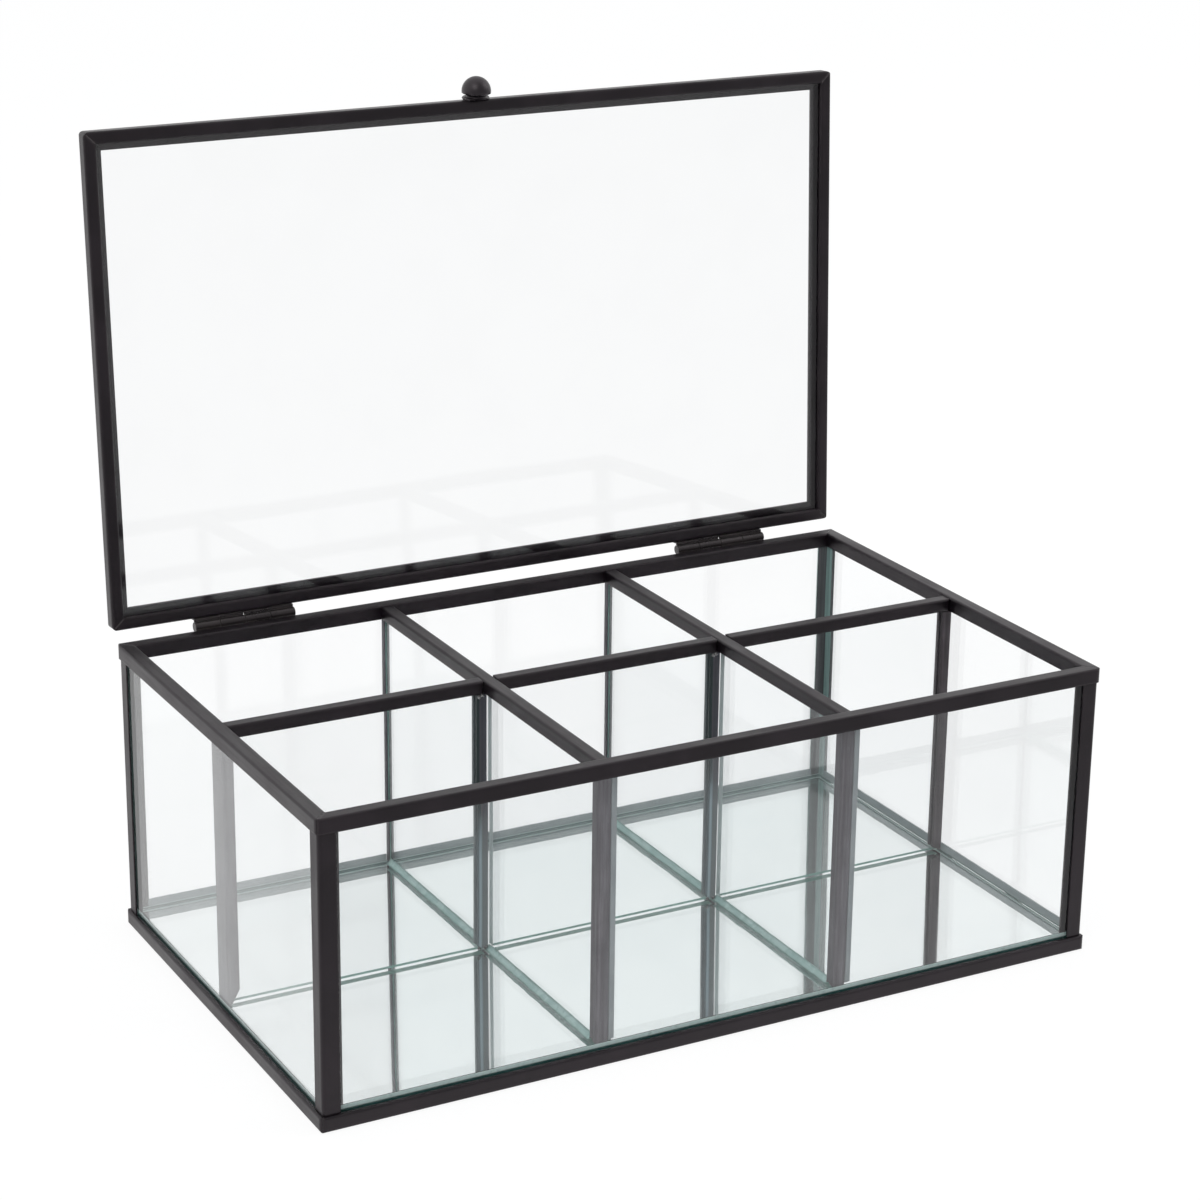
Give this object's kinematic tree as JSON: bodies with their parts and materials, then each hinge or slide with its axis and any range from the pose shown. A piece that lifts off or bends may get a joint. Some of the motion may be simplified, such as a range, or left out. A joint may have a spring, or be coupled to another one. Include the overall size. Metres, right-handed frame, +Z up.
{
  "type": "tea bag organizer box",
  "caption": "Rectangular metal-framed glass storage box with divided compartments, a mirror floor and a hinged glass lid with a round knob.",
  "frame": {"origin": "centre of the box's footprint on the plane that the base rails stand on", "axes": "+X to the right along the width, +Y to the back where the hinges are, +Z up; the front is at -Y"},
  "size_m": [0.2406, 0.1595, 0.2379],
  "materials": {
    "black_metal": "black patina, satin, slightly brown-grey in the light",
    "hinge_metal": "black patina, satin, worn lighter on the knuckles",
    "strip_metal": "dark grey patina, satin",
    "clear_glass": "clear, green at the edges",
    "mirror_glass": "silvered, green at the edges"
  },
  "bodies": {
    "base": {"bottom_rail_front": "black_metal", "bottom_rail_back": "black_metal", "bottom_rail_left": "black_metal", "bottom_rail_right": "black_metal", "top_rail_front": "black_metal", "top_rail_back": "black_metal", "top_rail_left": "black_metal", "top_rail_right": "black_metal", "corner_post_front_left": "black_metal", "corner_post_front_right": "black_metal", "corner_post_back_left": "black_metal", "corner_post_back_right": "black_metal", "glass_wall_front": "clear_glass", "glass_wall_back": "clear_glass", "glass_wall_left": "clear_glass", "glass_wall_right": "clear_glass", "floor_mirror": "mirror_glass", "cross_divider_glass_left": "clear_glass", "cross_divider_glass_right": "clear_glass", "long_divider_glass_left": "clear_glass", "long_divider_glass_middle": "clear_glass", "long_divider_glass_right": "clear_glass", "cross_divider_cap_left": "black_metal", "cross_divider_cap_right": "black_metal", "long_divider_cap_left": "black_metal", "long_divider_cap_middle": "black_metal", "long_divider_cap_right": "black_metal", "cross_strip_front_left": "strip_metal", "cross_strip_front_right": "strip_metal", "cross_strip_back_left": "strip_metal", "cross_strip_back_right": "strip_metal", "long_strip_wall_left": "strip_metal", "long_strip_wall_right": "strip_metal", "long_strip_crossing_left": "strip_metal", "long_strip_crossing_right": "strip_metal", "hinge_box_leaf_left": "hinge_metal", "hinge_box_leaf_right": "hinge_metal", "hinge_pin_left": "hinge_metal", "hinge_pin_right": "hinge_metal"},
    "lid": {"lid_rail_front": "black_metal", "lid_rail_back": "black_metal", "lid_rail_left": "black_metal", "lid_rail_right": "black_metal", "lid_glass": "clear_glass", "knob_dome": "black_metal", "knob_collar": "black_metal", "hinge_lid_leaf_left": "hinge_metal", "hinge_lid_leaf_right": "hinge_metal"}
  },
  "joints": [
    {"name": "lid_hinge", "type": "hinge", "parent": "base", "child": "lid", "pos_m": [0, 0.0734, 0.08715], "axis": [1, 0, 0], "range_deg": [0, 93]}
  ]
}
